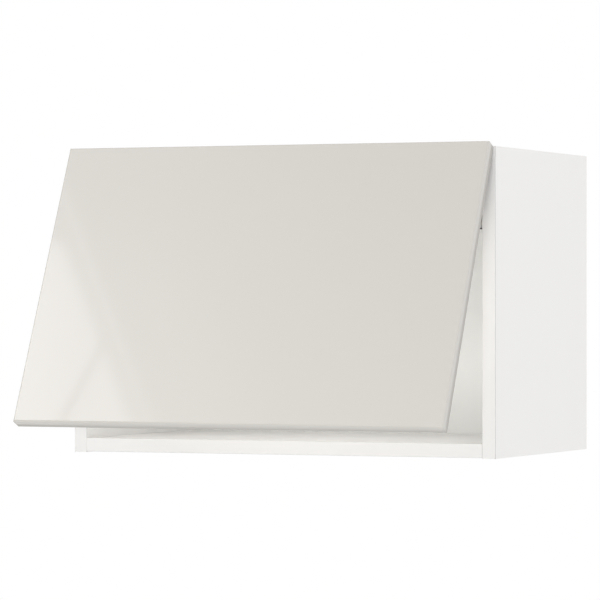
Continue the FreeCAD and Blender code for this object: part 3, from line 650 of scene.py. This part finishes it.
def screwSurface(tip, direction, length, size, columns=48):
    # From the point: a cone, a thread whose radius is core + ridge(height / pitch - u), the head's underside,
    # its rounded edge, and a dome lowered by the cross recess.
    turn = turnsOf(columns)
    headBase = length - size["headHeight"]
    heights = np.linspace(0, headBase, int(screwThread["rowsPerPitch"] * headBase / size["pitch"]))
    cone = np.clip(heights / size["point"], 0, 1)
    ridge = np.clip(1 - offCrest(heights, size["pitch"], turn) * screwThread["steepness"], 0, 1)
    threadRadii = cone[:, None] * (size["core"] + (size["shank"] - size["core"]) * ridge)
    rim = np.linspace(0, np.pi / 2, 6)
    edge = size["headHeight"] * screwHead["edge"]
    edgeRadii = size["head"] - edge * screwHead["edgeIn"] * (1 - np.sin(rim)) ** 2
    edgeHeights = headBase + size["headHeight"] * screwHead["edgeRise"] * np.linspace(0, 1, len(rim))
    inwards = np.linspace(screwHead["domeEdge"], 0, 18)
    rise = np.sqrt(np.clip(1 - inwards ** 2, 0, 1))
    dome = headBase + size["headHeight"] * (screwHead["domeFoot"] + screwHead["domeRise"] * rise)
    headRadii = np.concatenate([[size["shank"]], edgeRadii, inwards * size["head"]])
    headHeights = np.concatenate([[headBase], edgeHeights, dome])
    recess = crossRecess(headRadii[:, None], turn[None], size)
    radii = np.concatenate([threadRadii, everyColumn(headRadii, columns)])
    levels = np.concatenate([everyColumn(heights, columns), headHeights[:, None] - recess])
    return turnedSurface(radii, levels, tip, direction, columns)


def screwsPiece(node, directionOf, size=panelScrew):
    parts = []
    for solid in solidsOf(node):
        direction = directionOf(solid)
        tip, length = seatOf(solid, direction)
        parts.append(screwSurface(tip, direction, length, size))
    nodePiece(node, "_turned", parts, 50)


def inward(solid):  # from a side panel towards the middle of the cabinet
    return (-math.copysign(1, solid[:, 0].mean()), 0, 0)


doorBack = np.array([0, math.cos(restTurn), -math.sin(restTurn)])  # out of the door's back
screwsPiece("lift_screws", inward)
screwsPiece("hanger_screws", inward)
screwsPiece("bracket_screws", lambda solid: doorBack)
for side in sides:
    screwsPiece(side + "_hanger_height_screw", lambda solid: (0, 0, -1), heightScrew)
print("screws made")


# What joins the panels

dowel = {"flutes": 14, "fluteDepth": 0.0002, "chamfer": 0.0012, "chamferIn": 0.6}


def dowelSurface(solid, columns=112):
    # Radius = full radius less a flute's cosine; both ends taper over the chamfer.
    foot, length = seatOf(solid, (1, 0, 0))
    radius = np.ptp(solid[:, 1]) / 2
    along = np.linspace(dowel["chamfer"], length - dowel["chamfer"], 6)
    heights = np.concatenate([[0, 0], along, [length, length]])
    endRadius = radius - dowel["chamfer"] * dowel["chamferIn"]
    radii = np.array([0, endRadius] + [radius] * len(along) + [endRadius, 0])
    flutes = dowel["fluteDepth"] * (0.5 + 0.5 * np.cos(dowel["flutes"] * turnsOf(columns)))
    fluted = (radii > radius * 0.99).astype(float)[:, None]
    return turnedSurface(radii[:, None] - flutes[None] * fluted, heights, foot, (1, 0, 0), columns)


bolt = {
    "outer": 0.0025, "threadDepth": 0.0006, "pitch": 0.0025, "threadEnd": 0.011, "threadRows": 30,
    "collar": 0.0030, "collarEnd": 0.001, "shank": 0.0020, "shankStart": 0.0015, "shankEnd": 0.005,
    "head": 0.0032, "headStart": 0.0042, "headEnd": 0.0008, "headTop": 0.0015, "soften": 0.0004,
}


def boltSurface(solid, columns=40):
    # Threaded end, collar, thin shank and a rounded head, from the side panel inwards.
    direction = inward(solid)
    foot, length = seatOf(solid, direction)
    threadEnd = bolt["threadEnd"]
    heights = np.linspace(0, threadEnd, bolt["threadRows"])
    threadRadii = bolt["outer"] - bolt["threadDepth"] * offCrest(heights, bolt["pitch"], turnsOf(columns))
    threadRadii[0] = 0
    profile = [
        (bolt["outer"], threadEnd), (bolt["collar"], threadEnd),
        (bolt["collar"], threadEnd + bolt["collarEnd"]),
        (bolt["shank"], threadEnd + bolt["shankStart"]), (bolt["shank"], length - bolt["shankEnd"]),
        (bolt["head"], length - bolt["headStart"]), (bolt["head"], length - bolt["headEnd"]),
        (bolt["headTop"], length), (0, length),
    ]
    shankRadii, shankHeights = roundedProfile(profile, bolt["soften"])
    radii = np.concatenate([threadRadii, everyColumn(shankRadii, columns)])
    return turnedSurface(radii, np.concatenate([heights, shankHeights]), foot, direction, columns)


lock = {
    "bodyIn": 0.0006, "neckIn": 0.0004, "neck": 0.0012, "lipHeight": 0.001, "soften": 0.0003, "dish": 0.0004,
    "dishEdge": 0.9, "dishSoft": 0.05, "faceEdge": 0.96, "crossWidth": 0.0009, "crossReach": 0.0052,
    "crossDepth": 0.0022,
}


def lockSurface(solid, columns=96):
    # A drum with a turned-down body under a thin lip and a cross recess in its outer face.
    upwards = solid[:, 2].mean() > (cadBox[0][2] + cadBox[1][2]) / 2
    direction = (0, 0, 1 if upwards else -1)
    foot, length = seatOf(solid, direction)
    radius = np.ptp(solid[:, 0]) / 2
    profile = [
        (0, 0), (radius - lock["bodyIn"], 0), (radius - lock["neckIn"], length - lock["neck"]),
        (radius, length - lock["lipHeight"]), (radius, length),
    ]
    radii, heights = roundedProfile(profile, lock["soften"])
    face = np.linspace(lock["faceEdge"], 0, 30)
    recess = crossRecess(face[:, None] * radius, turnsOf(columns)[None], lock)
    dish = lock["dish"] * np.clip((lock["dishEdge"] - face) / lock["dishSoft"], 0, 1)
    allRadii = np.concatenate([radii, face * radius])
    levels = np.concatenate([everyColumn(heights, columns), length - dish[:, None] - recess])
    return turnedSurface(allRadii, levels, foot, direction, columns)


joiners = {"wood_dowels": (dowelSurface, 50), "cam_bolts": (boltSurface, 50), "cam_locks": (lockSurface, 35)}
for node, (surface, sharpAngle) in joiners.items():
    nodePiece(node, "_turned", [surface(solid) for solid in solidsOf(node)], sharpAngle)
print("panel joiners made")


# Door and its bumpers

softenedCopy("door", 0)
bumper = {"side": 0.96, "sideHeight": 0.35, "top": 0.55, "soften": 0.8}  # shares of its radius and its height


def bumperSurface(solid):  # a low dome on the door's back
    foot, length = seatOf(solid, doorBack)
    radius = np.ptp(solid[:, 0]) / 2
    profile = [
        (0, 0), (radius, 0), (radius * bumper["side"], length * bumper["sideHeight"]),
        (radius * bumper["top"], length), (0, length),
    ]
    return turnedPiece(profile, length * bumper["soften"], foot, doorBack, 48)


bumperParts = [bumperSurface(solid) for solid in solidsOf("door_bumpers")]
makePiece("door_bumpers_domed", bumperParts, "clear_bumper", "door", ["door_bumpers"], 60)
print("door made")


# Lift mechanisms: the spans are distances from the side panel's inner face

lift = {
    "innerFace": 0.282, "outerPlate": (0.004, 0.006), "link": (0.0064, 0.012), "innerPlate": (0.0124, 0.0144),
    "pinRadius": 0.0025, "pinSoften": 0.0002, "hub": (0.0016, 0.0168), "hubRadius": 0.0045,
    "eyeRadius": 0.006, "plateRim": 0.0005, "linkShare": 0.94, "linkRim": 0.0012, "waist": 0.72,
    "bossRise": 0.0002, "bossSoften": 0.0006,
}
lift["pin"] = (lift["outerPlate"][0], lift["innerPlate"][1])  # through both plates
rivetHead = {"radius": 0.0036, "height": 0.0007, "sunk": 0.3, "side": 0.35, "top": 0.6}
edgeWidths = {
    "door_bracket": 0.0004, "lift_cover": 0.0008, "guide_arm": 0.00025, "lift_frame": 0.0003,
    "lift_base": 0.0003, "roller_fork": 0.0004,
    "hanger_body": 0.0003, "hanger_cover": 0.0007, "hanger_hook": 0.0004,
}


def layer(sign, span):  # the x range, in rising order, of a layer of one side's lift
    return sorted(sign * (lift["innerFace"] - reach) for reach in span)


def rivet(place, sign, face, outwards):
    # A domed head; face is its plate's distance from the side panel, and outwards is 1 towards the middle.
    foot = (sign * (lift["innerFace"] - face), place[1], place[2])
    radius, height = rivetHead["radius"], rivetHead["height"]
    profile = [
        (0, -height * rivetHead["sunk"]), (radius, -height * rivetHead["sunk"]),
        (radius, height * rivetHead["side"]), (radius * rivetHead["top"], height), (0, height),
    ]
    return turnedPiece(profile, height, foot, (-sign * outwards, 0, 0), 32)


def rivets(pins, sign):  # both heads of each pin
    outer, inner = lift["pin"]
    return [rivet(pin, sign, face, outwards) for pin in pins for face, outwards in ((inner, 1), (outer, -1))]


def cylinder(place, sign, span, radius, soften, columns=40):
    low, high = layer(sign, span)
    profile = [(0, 0), (radius, 0), (radius, high - low), (0, high - low)]
    return turnedPiece(profile, soften, (low, place[1], place[2]), (1, 0, 0), columns)


def shanks(pins, sign):
    return [cylinder(pin, sign, lift["pin"], lift["pinRadius"], lift["pinSoften"]) for pin in pins]


def castLink(name, sign, eyes):  # a waisted bar with a round boss at each eye
    low, high = layer(sign, lift["link"])
    rise, radius = lift["bossRise"], lift["eyeRadius"]
    narrow = radius * lift["linkShare"]
    parts = [barSurface(eyes[0], eyes[-1], narrow, low + rise, high - rise, lift["linkRim"], lift["waist"])]
    parts += [cylinder(eye, sign, lift["link"], radius, lift["bossSoften"], 48) for eye in eyes]
    makePiece(name + "_cast", parts, "cast_zinc", name, [name])


for side, sign in sides.items():
    arm, guide = pivots[side + "_main_arm_pivot"], pivots[side + "_guide_arm_pivot"]
    crossPin, tiePin = pivots[side + "_cross_link_pivot"], pivots[side + "_tie_link_pivot"]
    doorPin = pivots["door_lift"]
    guidePin = guide + crossPin - arm
    lowDoorPin = doorPin + tiePin - crossPin
    mainArm = side + "_main_arm"
    armPins, doorPins = (crossPin, tiePin), (doorPin, lowDoorPin)
    parts = [
        barSurface(arm, tiePin, lift["eyeRadius"], *layer(sign, lift[plate]), lift["plateRim"])
        for plate in ("outerPlate", "innerPlate")
    ]
    parts.append(cylinder(arm, sign, lift["hub"], lift["hubRadius"], lift["pinSoften"]))
    parts += shanks(armPins, sign) + rivets(armPins, sign)
    makePiece(mainArm + "_pressed", parts, "nickel_steel", mainArm, [mainArm, side + "_arm_pins"])
    parts = rivets([guidePin], sign) + shanks([guidePin], sign)
    makePiece(side + "_guide_arm_rivets", parts, "nickel_steel", side + "_guide_arm", [side + "_guide_pin"])
    parts = rivets(doorPins, sign) + shanks(doorPins, sign)
    makePiece(side + "_door_rivets", parts, "nickel_steel", "door", [side + "_door_pins"])
    castLink(side + "_cross_link", sign, (doorPin, crossPin, guidePin))
    castLink(side + "_tie_link", sign, (lowDoorPin, tiePin))
    for node, width in edgeWidths.items():
        softenedCopy(side + "_" + node, width)
print("lift links made")


# Gas springs, their rollers, and the posts and pins between each lift's plates

gas = {
    "radius": 0.007, "tube": 0.074, "shoulder": 0.0014, "tubeSoften": 0.0007,
    "seal": 0.0036, "sealDepth": 0.0012,
    "crimp": 0.0006, "crimpPlace": 0.009, "crimpWidth": 0.0022, "crimpFoot": 1.6, "crimpFloor": 0.5,
    "lugRadius": 0.005, "lugRim": 0.0008, "lugOverlap": 0.6,
    "rodGroove": 0.0004, "grooveEnd": 0.0016, "grooveRise": 0.0004, "rodSoften": 0.0003,
}
# Waist, groove, hub, dishEdge, rim and crown are shares of the radius, and hubFoot is a share of the hub
spacer = {"waist": 0.84, "end": 0.002, "waistStart": 0.0026, "soften": 0.0004}
framePin = {"groove": 0.9, "grooveSpan": (0.0014, 0.002), "grooveRise": 0.0002, "soften": 0.0002}
roller = {"dish": 0.0003, "hub": 0.5, "hubFoot": 1.1, "dishEdge": 0.86, "rim": 0.9, "crown": 0.98,
          "crownHeight": 0.0006, "soften": 0.0003}


def acrossPiece(node, suffix, profileOf, soften):
    # Every solid of a node, turned about its own middle line across the cabinet.
    parts = []
    for solid in solidsOf(node):
        foot, wide = seatOf(solid, (1, 0, 0))
        parts.append(turnedPiece(profileOf(np.ptp(solid[:, 2]) / 2, wide), soften, foot, (1, 0, 0), 44))
    nodePiece(node, suffix, parts, 35)


def spacerProfile(radius, wide):
    waist, end, start = radius * spacer["waist"], spacer["end"], spacer["waistStart"]
    return [
        (0, 0), (radius, 0), (radius, end), (waist, start),
        (waist, wide - start), (radius, wide - end), (radius, wide), (0, wide),
    ]


def pinProfile(radius, wide):
    groove, rise = radius * framePin["groove"], framePin["grooveRise"]
    start, end = framePin["grooveSpan"]
    return [
        (0, 0), (radius, 0), (radius, start - rise), (groove, start),
        (groove, end), (radius, end + rise), (radius, wide), (0, wide),
    ]


def rollerProfile(radius, wide):
    dish, hub, crownHeight = roller["dish"], radius * roller["hub"], roller["crownHeight"]
    hubFoot, dishEdge = hub * roller["hubFoot"], radius * roller["dishEdge"]
    rim, crown = radius * roller["rim"], radius * roller["crown"]
    return [
        (0, 0), (hub, 0), (hubFoot, dish), (dishEdge, dish), (rim, 0), (crown, 0), (radius, crownHeight),
        (radius, wide - crownHeight), (crown, wide), (rim, wide), (dishEdge, wide - dish),
        (hubFoot, wide - dish), (hub, wide), (0, wide),
    ]


def tubeProfile():
    radius, length, shoulder = gas["radius"], gas["tube"], gas["shoulder"]
    rows = [(0, gas["sealDepth"]), (gas["seal"], gas["sealDepth"]), (gas["seal"], 0)]
    rows += [(radius - shoulder, 0), (radius, shoulder)]
    half, crimped = gas["crimpWidth"] / 2, radius - gas["crimp"]
    foot, floorEnd = half * gas["crimpFoot"], half * gas["crimpFloor"]
    for middle in (gas["crimpPlace"], length - gas["crimpPlace"]):
        rows += [(radius, middle - foot), (crimped, middle - floorEnd)]
        rows += [(crimped, middle + floorEnd), (radius, middle + foot)]
    return rows + [(radius, length - shoulder), (radius - shoulder, length), (0, length)]


def rodProfile(radius, length):
    groove, end = radius - gas["rodGroove"], gas["grooveEnd"]
    return [
        (0, 0), (groove, 0), (groove, end), (radius, end + gas["grooveRise"]), (radius, length), (0, length),
    ]


for side, sign in sides.items():
    low, high = np.array(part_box(side + "_gas_cylinder"))
    middle = (low + high) / 2
    front = np.array([middle[0], low[1], middle[2]])
    anchor = np.array([middle[0], high[1] - gas["lugRadius"], middle[2]])
    neck = front + (0, gas["tube"] - gas["lugRadius"] * gas["lugOverlap"], 0)
    parts = [turnedPiece(tubeProfile(), gas["tubeSoften"], front, (0, 1, 0), 64)]
    parts.append(barSurface(neck, anchor, gas["lugRadius"], *layer(sign, lift["link"]), gas["lugRim"]))
    nodePiece(side + "_gas_cylinder", "_tube", parts)
    low, high = np.array(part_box(side + "_gas_rod"))
    profile = rodProfile((high[2] - low[2]) / 2, high[1] - low[1])
    parts = [turnedPiece(profile, gas["rodSoften"], (middle[0], low[1], middle[2]), (0, 1, 0), 48)]
    nodePiece(side + "_gas_rod", "_ground", parts)
    acrossPiece(side + "_roller", "_crowned", rollerProfile, roller["soften"])
    acrossPiece(side + "_lift_spacers", "_turned", spacerProfile, spacer["soften"])
    acrossPiece(side + "_frame_pins", "_turned", pinProfile, framePin["soften"])
print("lift mechanisms made")


# Stage, lights and camera

stageSizes = {"level": -1.45, "reach": 3.6, "colour": (0.86, 0.86, 0.855), "tone": 0.985, "grain": 160,
              "roughness": 0.7, "bump": (0.05, 0.0005)}


def paleFloor():
    finish = Finish("paleFloor")
    grain = finish.noise(stageSizes["grain"], 3)
    darker = lit(stageSizes["colour"], stageSizes["tone"])
    return finish.surface({
        "Base Color": finish.blend(grain * 0.5, stageSizes["colour"], darker),
        "Roughness": stageSizes["roughness"] + grain * 0.1,
        "Normal": finish.bump(grain, *stageSizes["bump"]),
    })


reach, level = stageSizes["reach"], stageSizes["level"]
floorCorners = [(x * reach, y * reach, level) for x, y in ((-1, -1), (1, -1), (1, 1), (-1, 1))]
floorMesh = bpy.data.meshes.new("floor")
floorMesh.from_pydata(floorCorners, [], [(0, 1, 2, 3)])
floorMesh.materials.append(paleFloor().material)
floor = bpy.data.objects.new("floor", floorMesh)
bpy.context.scene.collection.objects.link(floor)

# The camera stands in front and to the right, level with the cabinet; focus, middleRow and size are in pixels
view = {"place": (1.940, -4.8175, -0.1585), "turn": 23.2104, "focus": 3713.3, "middleRow": 305.25,
        "size": 600, "sensor": 36}
cameraData = bpy.data.cameras.new("camera")
cameraData.sensor_width = view["sensor"]
cameraData.lens = view["focus"] * view["sensor"] / view["size"]
cameraData.shift_y = (view["middleRow"] - view["size"] / 2) / view["size"]
camera = bpy.data.objects.new("camera", cameraData)
camera.location = view["place"]
camera.rotation_euler = (math.pi / 2, 0, math.radians(view["turn"]))
bpy.context.scene.collection.objects.link(camera)
bpy.context.scene.camera = camera
bpy.context.scene.view_settings.view_transform = "Standard"

# Studio: an even white room, and a window of two panes that the gloss of the door mirrors.
# Slopes and places are in thousandths, across and down from the mirrored middle of the camera's view.
studio = {
    "room": 1.0, "leftDim": 0.3, "left": (-0.35, 0.35), "upDim": 0.25, "up": (0.25, 0.25),
    "behind": (-0.15, 0.15),
    "slope": 0.377, "paneEdge": -57.7, "paneTop": -17.3, "paneLight": 1.55, "paneSoft": 3.0,
    "sideLight": 0.9, "sideSpan": (-55, -80),
    "barSlope": -0.545, "barPlace": -47.2, "barWidth": 1.3, "barLight": 0.8, "barSoft": 0.8,
    "frameEdge": -50.9, "frameSoft": 2.2, "frameLight": 0.42,
    "streakPlace": -52.4, "streakWidth": 0.5, "streakLight": 0.75,
    "glow": 1.65, "glowSlope": 0.45, "glowSpan": (80.7, -83.6),
    "nearLight": 0.38, "nearSpan": (-12, -45), "nearRows": (-35, 0),
    "reach": 260, "reachSoft": 60, "ahead": (0.2, 0.1), "leastDepth": 0.001,
}


class Sky(ShaderTree):
    def __init__(self, world):
        world.use_nodes = True
        super().__init__(world.node_tree, "Generated")
        self.background = self.tree.nodes["Background"]

    def along(self, direction):
        sockets = {0: self.place, 1: tuple(float(value) for value in direction)}
        return self.node("ShaderNodeVectorMath", {"operation": "DOT_PRODUCT"}, sockets, "Value")


def mirrored(direction, normal):
    return direction - 2 * np.dot(direction, normal) * normal


def studioLight():
    turn = math.radians(view["turn"])
    doorFront = np.array([0, -math.cos(restTurn), math.sin(restTurn)])
    ahead = mirrored(np.array([-math.sin(turn), math.cos(turn), 0]), doorFront)
    rightwards = mirrored(np.array([math.cos(turn), math.sin(turn), 0]), doorFront)
    downwards = mirrored(np.array([0, 0, -1]), doorFront)
    world = bpy.data.worlds.new("studio")
    bpy.context.scene.world = world
    sky = Sky(world)
    depth = sky.along(ahead).largest(studio["leastDepth"])
    across = sky.along(rightwards) * 1000 / depth
    down = sky.along(downwards) * 1000 / depth
    slanted = across - down * studio["slope"]
    # Panes and the bar between them
    lower = down.above(studio["paneTop"], studio["paneSoft"])
    pane = (1 - slanted.above(studio["paneEdge"], studio["paneSoft"])) * lower
    offBar = abs(across - down * studio["barSlope"] - studio["barPlace"])
    bar = 1 - offBar.above(studio["barWidth"], studio["barWidth"] * studio["barSoft"])
    inside = across.ramped(*studio["sideSpan"])
    paneLight = pane * (studio["paneLight"] + inside * studio["sideLight"]) * (1 - bar * studio["barLight"])
    # Frame, the streak on it and the glow beside it
    surround = 1 - slanted.above(studio["frameEdge"], studio["frameSoft"])
    streak = 1 - abs(slanted - studio["streakPlace"]).above(studio["streakWidth"], studio["streakWidth"])
    glow = (across - down * studio["glowSlope"]).ramped(*studio["glowSpan"]) * studio["glow"]
    nearGlow = slanted.ramped(*studio["nearSpan"]) * down.ramped(*studio["nearRows"]) * studio["nearLight"]
    glow = glow + nearGlow
    near = 1 - (across * across + down * down).root().above(studio["reach"], studio["reachSoft"])
    window = paneLight + surround * studio["frameLight"] + streak * studio["streakLight"] + glow
    window = window * near * sky.along(ahead).above(*studio["ahead"])
    # In front of the cabinet the room is dimmer on the left and above
    fromLeft = 1 - sky.along((1, 0, 0)).above(*studio["left"])
    fromAbove = sky.along((0, 0, 1)).above(*studio["up"])
    inFront = 1 - sky.along((0, 1, 0)).above(*studio["behind"])
    dimming = (fromLeft * studio["leftDim"] + fromAbove * studio["upDim"]) * inFront
    sky.join(studio["room"] - dimming + window, sky.background.inputs["Strength"])
    sky.background.inputs["Color"].default_value = (1, 1, 1, 1)


# White lamps that nothing mirrors; the last two stand in the door opening
lamps = {
    "frontFill": {"place": (2.05, -8.05, -1.10), "aim": (0, -0.4, -0.15), "size": (2.8, 2.8), "power": 235},
    "doorBackFill": {"place": (0, -0.358, -0.18), "aim": (0, -1, -0.18), "size": (0.52, 0.22), "power": 1.45},
    "insideFill": {"place": (0, -0.33, -0.155), "aim": (0, -0.06, -0.325), "size": (0.52, 0.16),
                   "power": 0.25},
}


def softbox(name, settings):
    data = bpy.data.lights.new(name, "AREA")
    data.shape = "RECTANGLE"
    data.size, data.size_y = settings["size"]
    data.energy = settings["power"]
    data.color = (1, 1, 1)
    lamp = bpy.data.objects.new(name, data)
    lamp.location = settings["place"]
    ahead = unit(np.asarray(settings["aim"]) - settings["place"])
    lamp.rotation_euler = (math.acos(-ahead[2]), 0, math.atan2(-ahead[0], ahead[1]))
    lamp.visible_camera = False
    lamp.visible_glossy = False
    bpy.context.scene.collection.objects.link(lamp)


studioLight()
for name, settings in lamps.items():
    softbox(name, settings)
print("stage ready")
